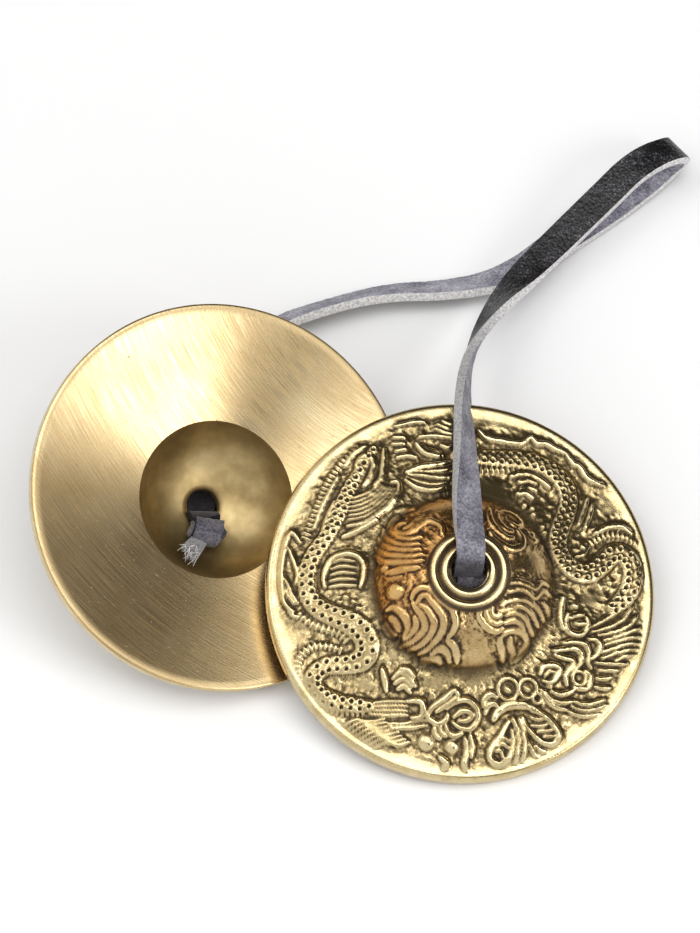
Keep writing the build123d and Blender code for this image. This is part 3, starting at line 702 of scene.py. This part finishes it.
# The lace is one strip cut from a hide, 5.5 mm wide and 1.5 mm thick, black on its smooth grain side
# and grey suede on its flesh side. Its ends go through the cymbals and its middle is folded as a finger loop.
LACE_WIDTH, LACE_THICKNESS = 5.5, 1.5
NECK_WIDTH, NECK_THICKNESS = 4.6, 1.4
TAPER = (5.3, 5.1, 5.0, 4.9)
DOWN, UP = (0, 0, -1), (0, 0, 1)
LEFT_END = [
    ((-23.0, 6.9, 7.2), (0, -0.5, -0.87)),
    ((-24.0, 8.7, 6.4), (0, -0.9, -0.4)),
    ((-24.2, 9.2, 3.2), (0, -1, -0.1)),
    ((-24.5, 10.8, 1.2), (0, -0.7, -0.7)),
]
LACE_RUN = [
    ((-23.9, 17.6, 1), DOWN),
    ((-21.8, 26.6, 1.3), DOWN),
    ((-14.7, 46.6, 2.6), (0.3, -0.6, -0.7)),
    ((-1.6, 51.5, 2.8), (0.2, -0.72, -0.66)),
    ((8, 54, 2.6), (0.1, -0.66, -0.75)),
    ((16.8, 54.3, 2.5), (0.05, -0.6, -0.8)),
    ((25, 55.8, 2.3), (0.1, -0.5, -0.85)),
    ((31.5, 59.1, 1.5), (0.1, -0.2, -1)),
    ((38.3, 65.2, 1), DOWN),
    ((45.4, 70.3, 1), DOWN),
    ((52.9, 76.2, 1.3), DOWN),
    ((58.4, 81.9, 1.8), (0.7, 0.6, -0.7)),
    ((59.4, 80.1, 8.6), (0.7, 0.6, 0.7)),
    ((52, 76.2, 9.9), UP),
    ((44.9, 69, 8.6), UP),
    ((37.9, 62, 7.2), UP),
    ((31.9, 55.8, 6.4), (-0.2, 0.1, 1)),
    ((26.8, 48.9, 7.2), (-0.6, 0.3, 0.75)),
    ((23, 41, 9.6), (-0.88, 0.15, 0.42)),
    ((20.7, 33.1, 12.6), (-1, 0, -0.05)),
    ((19.9, 23.9, 16.6), (-0.93, 0, -0.35)),
    ((20.2, 11.8, 19.2), (-0.78, 0, -0.62)),
    ((20.2, -0.2, 21.6), (-0.4, 0, -0.92)),
]
RIGHT_END = [
    ((20.62, -5.63, 24.2), (0, 0.6, -0.8)),
    ((20.49, -8.64, 22.32), (0, 0.6, -0.8)),
    ((19.98, -8.09, 16.09), (0, 1, 0)),
]
LEFT_HINGE, LEFT_WAY = (24.457, 58.003, 1.949), (0.917, 0.398, 0)
LOOP_HINGE, LOOP_WAY = (28.24, 57.7, 4.1), (0.826, 0.563, 0)


def spline_points(points, pieces=24):
    """Points along the smooth line that a strip takes through a route, which lies within its corners."""
    curve = bpy.data.curves.new("route", "CURVE")
    curve.dimensions = "3D"
    curve.resolution_u = pieces
    spline = curve.splines.new("NURBS")
    spline.points.add(len(points) - 1)
    for control, point in zip(spline.points, points):
        control.co = (*[c * MM for c in point], 1)
    spline.order_u = 3
    spline.use_endpoint_u = True
    holder = bpy.data.objects.new("route", curve)
    mesh = bpy.data.meshes.new_from_object(holder)
    places = [v.co.copy() for v in mesh.vertices]
    bpy.data.objects.remove(holder)
    bpy.data.curves.remove(curve)
    bpy.data.meshes.remove(mesh)
    return places


route = LEFT_END + LACE_RUN + RIGHT_END
route_line = spline_points([point for point, _ in route])
grain_line = spline_points([Vector(p) + Vector(g).normalized() for p, g in route])
lace_widths = spline_points(
    [(NECK_WIDTH, NECK_THICKNESS, 0)] * len(LEFT_END)
    + [(LACE_WIDTH, LACE_THICKNESS, 0)] * (len(LACE_RUN) - len(TAPER))
    + [(width, LACE_THICKNESS, 0) for width in TAPER]
    + [(NECK_WIDTH, NECK_THICKNESS, 0)] * len(RIGHT_END)
)

steps = np.append(0, np.cumsum([(b - a).length / MM for a, b in zip(route_line, route_line[1:])]))
end = steps[-1]
# Darkening along the lace: painted shade, with some grime, where the ends pass through the holes, and a
# little darker over most of its last 50 mm on the right.
lace_grime_and_shade = np.interp(
    steps, [0, 12, 20, end - 66, end - 50, end - 8.5, end - 6], [0.95, 0.95, 0, 0, 0.2, 0.2, 0.8]
)

NAP, WAVER, WAVER_RUN = 0.09, 0.05, 12.0
SIDES = {"grain": 0, "flesh": 1, "cut": 2}


def strip_mesh(name, line, grains, sizes, grime_and_shade, across=14):
    """A strip of hide laid along a line: a grid wrapped round the strip's section at each place, its cut
    edges wavering a little, its flesh side rough with nap, and darkened where its grime value is near 1,
    which is grime and painted shade."""
    top = [(x, 0.5) for x in np.linspace(-0.5, 0.5, across + 1)]
    edge = [(0.52, 0.17), (0.52, -0.17)]
    outline = top + edge + [(-x, -y) for x, y in top + edge]
    around, along = len(outline), len(line) - 1
    bm = bmesh.new()
    bmesh.ops.create_grid(bm, x_segments=along, y_segments=around, size=0.5, calc_uvs=True)
    for face in bm.faces:
        j = int((face.calc_center_median().y + 0.5) * around)
        side = "grain" if j < across else "flesh" if 0 <= j - across - 3 < across else "cut"
        face.material_index = SIDES[side]
    grime_and_shade_layer = bm.verts.layers.float.new("grime_and_shade")
    for vert in bm.verts:
        i, j = round((vert.co.x + 0.5) * along), round((vert.co.y + 0.5) * around)
        tangent = (line[min(i + 1, along)] - line[max(i - 1, 0)]).normalized()
        side = (grains[i] - line[i]).cross(tangent).normalized()
        grain = tangent.cross(side)
        x, y = outline[j % around]
        waver = 1 + WAVER * noise.noise(line[i] / (WAVER_RUN * MM) + side * x)
        place = line[i] + side * x * sizes[i].x * waver + grain * y * sizes[i].y
        rough = NAP if y < 0 else NAP / 4
        vert[grime_and_shade_layer] = grime_and_shade[i]
        vert.co = place + grain * rough * MM * noise.noise(place / (0.55 * MM))
    bmesh.ops.remove_doubles(bm, verts=bm.verts, dist=1e-7)
    caps = bmesh.ops.holes_fill(bm, edges=[e for e in bm.edges if e.is_boundary], sides=0)["faces"]
    for face in caps:
        face.material_index = SIDES["cut"]
    bmesh.ops.recalc_face_normals(bm, faces=bm.faces)
    for edge in bm.edges:
        edge.smooth = len({face.material_index for face in edge.link_faces}) == 1
    for edge in {e for face in caps for e in face.edges}:
        edge.smooth = False
    mesh = bpy.data.meshes.new(name)
    bm.to_mesh(mesh)
    bm.free()
    mesh.polygons.foreach_set("use_smooth", [True] * len(mesh.polygons))
    strip = bpy.data.objects.new(name, mesh)
    bpy.context.scene.collection.objects.link(strip)
    for material in (grain_leather, suede, cut_edge):
        mesh.materials.append(material)
    return strip


# Black full-grain leather: a fine pebble of half a millimetre that breaks its sheen into glints, and glints
# painted into its colour as pale grey specks, gathered in patches.
PEBBLE, PAINTED_GLINT, CREASE = 0.55, 0.34, 4.0
grain_leather = bpy.data.materials.new("black_grain_leather")
grain_leather.use_nodes = True
tree = grain_leather.node_tree
shader = tree.nodes["Principled BSDF"]
where = add_node(tree, "ShaderNodeTexCoord").outputs["Object"]
pebbles = add_node(
    tree, "ShaderNodeTexVoronoi", {"feature": "SMOOTH_F1"}, {"Vector": where, "Scale": 1 / (PEBBLE * MM)}
)
painted_glints = add_node(tree, "ShaderNodeTexNoise", {}, {"Vector": where, "Scale": 1 / (PAINTED_GLINT * MM), "Detail": 2})
creases = add_node(tree, "ShaderNodeTexNoise", {}, {"Vector": where, "Scale": 1 / (CREASE * MM), "Detail": 5})
painted_glint_patches = add_node(
    tree, "ShaderNodeMath", {"operation": "MULTIPLY_ADD"}, {0: creases.outputs["Fac"], 1: 0.6, 2: -0.3}
)
painted_glint_mask = add_node(tree, "ShaderNodeMath", {}, {0: painted_glints.outputs["Fac"], 1: painted_glint_patches.outputs[0]})
# Painted glints: the colour turns pale grey where the speck noise and its patches run high.
colour = add_node(
    tree,
    "ShaderNodeValToRGB",
    {},
    {"Fac": painted_glint_mask.outputs[0]},
    {0.42: "#0c0b0d", 0.56: "#1b1a1d", 0.68: "#4c494e", 0.82: "#8f8c91"},
)
pebbled = add_node(
    tree,
    "ShaderNodeBump",
    {"invert": True},
    {"Strength": 0.9, "Distance": 0.16 * MM, "Height": pebbles.outputs["Distance"]},
)
gloss = add_node(
    tree, "ShaderNodeMapRange", {}, {"Value": creases.outputs["Fac"], 1: 0.3, 2: 0.7, 3: 0.28, 4: 0.45}
)
# The lace's grime value darkens the grain towards near-black: painted shade, with some grime, where the ends
# pass through the holes.
grime_and_shade_fac = add_node(tree, "ShaderNodeAttribute", {"attribute_name": "grime_and_shade"}).outputs["Fac"]
dirtied_and_shaded = add_node(
    tree, "ShaderNodeMix", {"data_type": "RGBA"}, {0: grime_and_shade_fac, 6: colour.outputs["Color"], 7: linear("#0c0b0c")}
)
tree.links.new(dirtied_and_shaded.outputs[2], shader.inputs["Base Color"])
tree.links.new(gloss.outputs[0], shader.inputs["Roughness"])
tree.links.new(pebbled.outputs[0], shader.inputs["Normal"])

# Suede, the flesh side: a dull blue-grey nap of short fibres, paler where they stand, darker between tufts.
TUFT, PATCH = 0.45, 3.5
suede = bpy.data.materials.new("grey_suede")
suede.use_nodes = True
tree = suede.node_tree
shader = tree.nodes["Principled BSDF"]
shader.inputs["Roughness"].default_value = 0.95
shader.inputs["Sheen Weight"].default_value = 0.25
shader.inputs["Specular IOR Level"].default_value = 0.15
where = add_node(tree, "ShaderNodeTexCoord").outputs["Object"]
tufts = add_node(tree, "ShaderNodeTexNoise", {}, {"Vector": where, "Scale": 1 / (TUFT * MM), "Detail": 4})
patches = add_node(tree, "ShaderNodeTexNoise", {}, {"Vector": where, "Scale": 1 / (PATCH * MM), "Detail": 3})
mixed = add_node(
    tree,
    "ShaderNodeMath",
    {"operation": "MULTIPLY"},
    {0: patches.outputs["Fac"], 1: 0.45},
)
toned = add_node(
    tree,
    "ShaderNodeMath",
    {"operation": "MULTIPLY_ADD"},
    {0: tufts.outputs["Fac"], 1: 0.55, 2: mixed.outputs[0]},
)
colour = add_node(
    tree,
    "ShaderNodeValToRGB",
    {},
    {"Fac": toned.outputs[0]},
    {0.34: "#545260", 0.47: "#83818d", 0.58: "#a8a6b0", 0.7: "#cfcdd3"},
)
napped = add_node(
    tree,
    "ShaderNodeBump",
    {},
    {"Strength": 0.7, "Distance": 0.15 * MM, "Height": tufts.outputs["Fac"]},
)
# The lace's grime value darkens the suede: painted shade, with some grime, where the ends pass through the
# holes.
grime_and_shade_fac = add_node(tree, "ShaderNodeAttribute", {"attribute_name": "grime_and_shade"}).outputs["Fac"]
dirtied_and_shaded = add_node(
    tree, "ShaderNodeMix", {"data_type": "RGBA"}, {0: grime_and_shade_fac, 6: colour.outputs["Color"], 7: linear("#1c181c")}
)
tree.links.new(dirtied_and_shaded.outputs[2], shader.inputs["Base Color"])
tree.links.new(napped.outputs[0], shader.inputs["Normal"])

# The cut edge shows the undyed middle of the hide: pale grey, in fibres.
FIBRE = 0.4
cut_edge = bpy.data.materials.new("raw_cut_leather")
cut_edge.use_nodes = True
tree = cut_edge.node_tree
shader = tree.nodes["Principled BSDF"]
shader.inputs["Roughness"].default_value = 0.9
shader.inputs["Specular IOR Level"].default_value = 0.2
where = add_node(tree, "ShaderNodeTexCoord").outputs["Object"]
fibres = add_node(tree, "ShaderNodeTexNoise", {}, {"Vector": where, "Scale": 1 / (FIBRE * MM), "Detail": 4})
colour = add_node(
    tree,
    "ShaderNodeValToRGB",
    {},
    {"Fac": fibres.outputs["Fac"]},
    {0.32: "#a8a6a8", 0.5: "#d0cecd", 0.68: "#e8e6e4"},
)
frayed = add_node(
    tree,
    "ShaderNodeBump",
    {},
    {"Strength": 0.6, "Distance": 0.12 * MM, "Height": fibres.outputs["Fac"]},
)
# The cut edge takes the grime value twice over: painted shade and grime at the ends, and a darker edge along
# the right run.
grime_and_shade_fac = add_node(tree, "ShaderNodeAttribute", {"attribute_name": "grime_and_shade"}).outputs["Fac"]
edge_grime_and_shade = add_node(tree, "ShaderNodeMath", {"operation": "MULTIPLY", "use_clamp": True}, {0: grime_and_shade_fac, 1: 2.0})
dirtied_and_shaded = add_node(
    tree,
    "ShaderNodeMix",
    {"data_type": "RGBA"},
    {0: edge_grime_and_shade.outputs[0], 6: colour.outputs["Color"], 7: linear("#2b292d")},
)
tree.links.new(dirtied_and_shaded.outputs[2], shader.inputs["Base Color"])
tree.links.new(frayed.outputs[0], shader.inputs["Normal"])

hinge = Vector(LEFT_HINGE) * MM
cut = min(range(len(route_line)), key=lambda i: (route_line[i] - hinge).length)
lace_left = strip_mesh(
    "lace_left_run",
    route_line[: cut + 1],
    grain_line[: cut + 1],
    lace_widths[: cut + 1],
    lace_grime_and_shade[: cut + 1],
)
lace_right = strip_mesh(
    "lace_loop_and_right_run", route_line[cut:], grain_line[cut:], lace_widths[cut:], lace_grime_and_shade[cut:]
)
left_way = Vector(LEFT_WAY) * MM
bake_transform(lace_left, "left_run", "left_bend", hinge - 5 * left_way, hinge - 0.3 * left_way)
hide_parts("left_neck", "strap_left_run")
loop_hinge, loop_way = Vector(LOOP_HINGE) * MM, Vector(LOOP_WAY) * MM
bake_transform(lace_right, "right_run", "loop", loop_hinge - 3 * loop_way, loop_hinge + 6 * loop_way)
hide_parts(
    "strap_left_bend",
    "strap_loop",
    "strap_right_bend",
    "strap_right_run",
    "right_fold",
    "right_neck",
)

# Each end of the lace is tied in an overhand knot, too thick for the cymbal's hole, inside the hollow of the
# bell. The end left over is a short tail, cut off and frayed. Knot and tail are the same strip as the lace.
KNOT_TURNS = [
    (-1.9, 0.4, -1.5), (-1.8, -1.5, -0.9), (-1.4, -1.6, 0.9), (-0.9, 0.2, 1.8), (-0.5, 1.7, 0.8),
    (-0.1, 1.6, -0.9), (0.2, 0, -1.8), (0.5, -1.7, -0.9), (0.8, -1.6, 0.9), (1.2, 0.1, 1.8),
    (1.6, 1.6, 0.9), (1.8, 1.5, -0.8),
]
KNOT_STRIP, KNOT_CORE, KNOT_GRIME = (2.6, 1.5), (3.5, 2.1, 2.1), 0.62
TAIL_START, TAIL_LENGTH, TAIL_WIDTH, TAIL_THICKNESS, TAIL_GRIME = 1.2, 4.2, 3.2, 1.2, 0.3
STRANDS, STRAND_ROOT, STRAND_TIP = 60, 0.12, 0.03
KNOTS = {
    "left": ((-23.21, 4.98, 6.77), (-0.949, -0.025, 0.313), (0.3, -0.3, 0.9), (-0.534, -0.872, 0.279)),
    "right": ((19.98, -8.09, 16.09), (-0.997, -0.008, 0.081), (-0.08, 0.18, -0.98), (-0.078, 0.674, -0.888)),
}
fray = np.random.default_rng(11)
for end, (centre, long_way, out_way, tail_way) in KNOTS.items():
    centre, long_way, tail_way = Vector(centre), Vector(long_way).normalized(), Vector(tail_way).normalized()
    out_way = (Vector(out_way) - long_way * long_way.dot(Vector(out_way))).normalized()
    side_way = out_way.cross(long_way)
    turns = [centre + long_way * x + side_way * y + out_way * z for x, y, z in KNOT_TURNS]
    inward = [(centre + long_way * x - p).normalized() for p, (x, _, _) in zip(turns, KNOT_TURNS)]
    knot = strip_mesh(
        f"{end}_knot_turns",
        spline_points(turns, 10),
        spline_points([p + way for p, way in zip(turns, inward)], 10),
        spline_points([(*KNOT_STRIP, 0)] * len(turns), 10),
        [KNOT_GRIME] * 10 * len(turns),
        across=8,
    )
    bm = bmesh.new()
    bm.from_mesh(knot.data)
    grime_and_shade_layer = bm.verts.layers.float["grime_and_shade"]
    core = bmesh.ops.create_icosphere(bm, subdivisions=3, radius=MM)["verts"]
    place = Matrix((long_way, side_way, out_way)).transposed().to_4x4() @ Matrix.Diagonal((*KNOT_CORE, 1))
    bmesh.ops.transform(bm, matrix=Matrix.Translation(centre * MM) @ place, verts=core)
    for vert in core:
        vert.co += (vert.co - centre * MM) * 0.25 * noise.noise(vert.co / (1.6 * MM))
        vert[grime_and_shade_layer] = KNOT_GRIME
    for face in {f for v in core for f in v.link_faces}:
        face.material_index, face.smooth = SIDES["flesh"], True
    bm.to_mesh(knot.data)
    bm.free()
    root = centre + tail_way * TAIL_START
    bend = out_way.cross(tail_way).normalized()
    tail_line = [root + tail_way * TAIL_LENGTH * t + out_way * 0.5 * t * t for t in (0, 0.35, 0.7, 1)]
    tail = strip_mesh(
        f"{end}_tail_end",
        spline_points(tail_line, 8),
        spline_points([p + out_way for p in tail_line], 8),
        spline_points([(TAIL_WIDTH * w, TAIL_THICKNESS, 0) for w in (0.7, 0.85, 0.95, 1)], 8),
        [TAIL_GRIME] * 8 * len(tail_line),
        across=8,
    )
    bm = bmesh.new()
    bm.from_mesh(tail.data)
    for face in bm.faces:
        face.material_index = SIDES["cut"]
    for _ in range(STRANDS):
        start = tail_line[-1] + bend * fray.uniform(-0.5, 0.5) * TAIL_WIDTH - tail_way * fray.uniform(0, 1.6)
        start += out_way * fray.uniform(-0.5, 0.5) * TAIL_THICKNESS
        way = tail_way + bend * fray.normal(0, 0.45) + out_way * fray.normal(0.1, 0.4)
        length = fray.uniform(1.2, 2.6)
        turn = way.to_track_quat("Z", "Y").to_matrix().to_4x4()
        strand = Matrix.Translation((start + way.normalized() * length / 2) * MM) @ turn
        verts = bmesh.ops.create_cone(
            bm,
            cap_ends=True,
            segments=5,
            radius1=STRAND_ROOT * MM,
            radius2=STRAND_TIP * MM,
            depth=length * MM,
            matrix=strand,
        )["verts"]
        for face in {f for v in verts for f in v.link_faces}:
            face.material_index = SIDES["cut"]
    bm.to_mesh(tail.data)
    bm.free()
    for piece, node in ((knot, f"{end}_knot"), (tail, f"{end}_tail")):
        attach(piece, f"{end}_run")
        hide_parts(node)

# A plain white table under soft studio light, seen from above and in front.
floor_mesh = bpy.data.meshes.new("table")
bm = bmesh.new()
bmesh.ops.create_grid(bm, x_segments=1, y_segments=1, size=3)
bm.to_mesh(floor_mesh)
bm.free()
table = bpy.data.objects.new("table", floor_mesh)
bpy.context.scene.collection.objects.link(table)
paper = bpy.data.materials.new("white_paper")
paper.use_nodes = True
paper.node_tree.nodes["Principled BSDF"].inputs["Base Color"].default_value = linear("#fafafa")
paper.node_tree.nodes["Principled BSDF"].inputs["Roughness"].default_value = 0.9
floor_mesh.materials.append(paper)

# The room is white, dim only behind and to the right, with a black flag between two of the lamps, so that
# the brass has something darker to mirror.
FLAG, DIM_SIDE, ROOM_STRENGTH = (0.37, -0.46, 0.81), (0.55, 0.84, 0), 0.94
world = bpy.data.worlds.new("studio")
world.use_nodes = True
tree = world.node_tree
look = add_node(tree, "ShaderNodeTexCoord").outputs["Generated"]
turned = add_node(tree, "ShaderNodeVectorMath", {"operation": "DOT_PRODUCT"}, {0: look, 1: DIM_SIDE})
behind = add_node(
    tree, "ShaderNodeMapRange", {}, {"Value": turned.outputs["Value"], 1: 0.0, 2: 0.8, 3: 0.0, 4: 1.0}
)
room = add_node(
    tree,
    "ShaderNodeValToRGB",
    {},
    {"Fac": behind.outputs[0]},
    {0.44: "#ffffff", 0.5: "#b9b7b5", 0.58: "#6e6a66", 0.7: "#4c4843", 1.0: "#3c3935"},
)
facing = add_node(tree, "ShaderNodeVectorMath", {"operation": "DOT_PRODUCT"}, {0: look, 1: FLAG})
flag = add_node(
    tree, "ShaderNodeMapRange", {}, {"Value": facing.outputs["Value"], 1: 0.955, 2: 0.985, 3: 0.0, 4: 0.9}
)
flagged = add_node(
    tree,
    "ShaderNodeMix",
    {"data_type": "RGBA"},
    {0: flag.outputs[0], 6: room.outputs["Color"], 7: linear("#1c1a18")},
)
tree.links.new(flagged.outputs[2], tree.nodes["Background"].inputs["Color"])
tree.nodes["Background"].inputs["Strength"].default_value = ROOM_STRENGTH
bpy.context.scene.world = world
bpy.context.scene.view_settings.view_transform = "Standard"
LAMP_DISTANCE = 1.1
LAMPS = {
    "softbox_right": ((0.67, -0.37, 0.64), 0.37, 1.95),
    "softbox_above": ((0.19, -0.06, 0.98), 0.64, 2.95),
    "softbox_left": ((-0.42, 0.08, 0.85), 0.45, 1.2),
}
for name, (way, size, power) in LAMPS.items():
    lamp = bpy.data.lights.new(name, "AREA")
    lamp.size, lamp.energy = size, power
    holder = bpy.data.objects.new(name, lamp)
    holder.location = Vector(way).normalized() * LAMP_DISTANCE
    holder.rotation_euler = Vector(way).to_track_quat("Z", "Y").to_euler()
    bpy.context.scene.collection.objects.link(holder)

CAMERA_TARGET, CAMERA_ELEVATION, CAMERA_DISTANCE = (-0.17, -0.98, 8.0), radians(64), 600
FOCAL_PIXELS, FRAME_HEIGHT, SENSOR = 3592, 933, 36
AXIS_PIXEL, FRAME_CENTRE = (343.3, 560.8), (350, 466.5)
camera = bpy.data.cameras.new("camera")
camera.sensor_width = SENSOR
camera.lens = FOCAL_PIXELS / FRAME_HEIGHT * SENSOR
camera.shift_x = (FRAME_CENTRE[0] - AXIS_PIXEL[0]) / FRAME_HEIGHT
camera.shift_y = (AXIS_PIXEL[1] - FRAME_CENTRE[1]) / FRAME_HEIGHT
camera.clip_start = 0.01
viewer = bpy.data.objects.new("camera", camera)
back = Vector((0, -cos(CAMERA_ELEVATION), sin(CAMERA_ELEVATION)))
viewer.location = (Vector(CAMERA_TARGET) + back * CAMERA_DISTANCE) * MM
viewer.rotation_euler = back.to_track_quat("Z", "Y").to_euler()
bpy.context.scene.collection.objects.link(viewer)
bpy.context.scene.camera = viewer
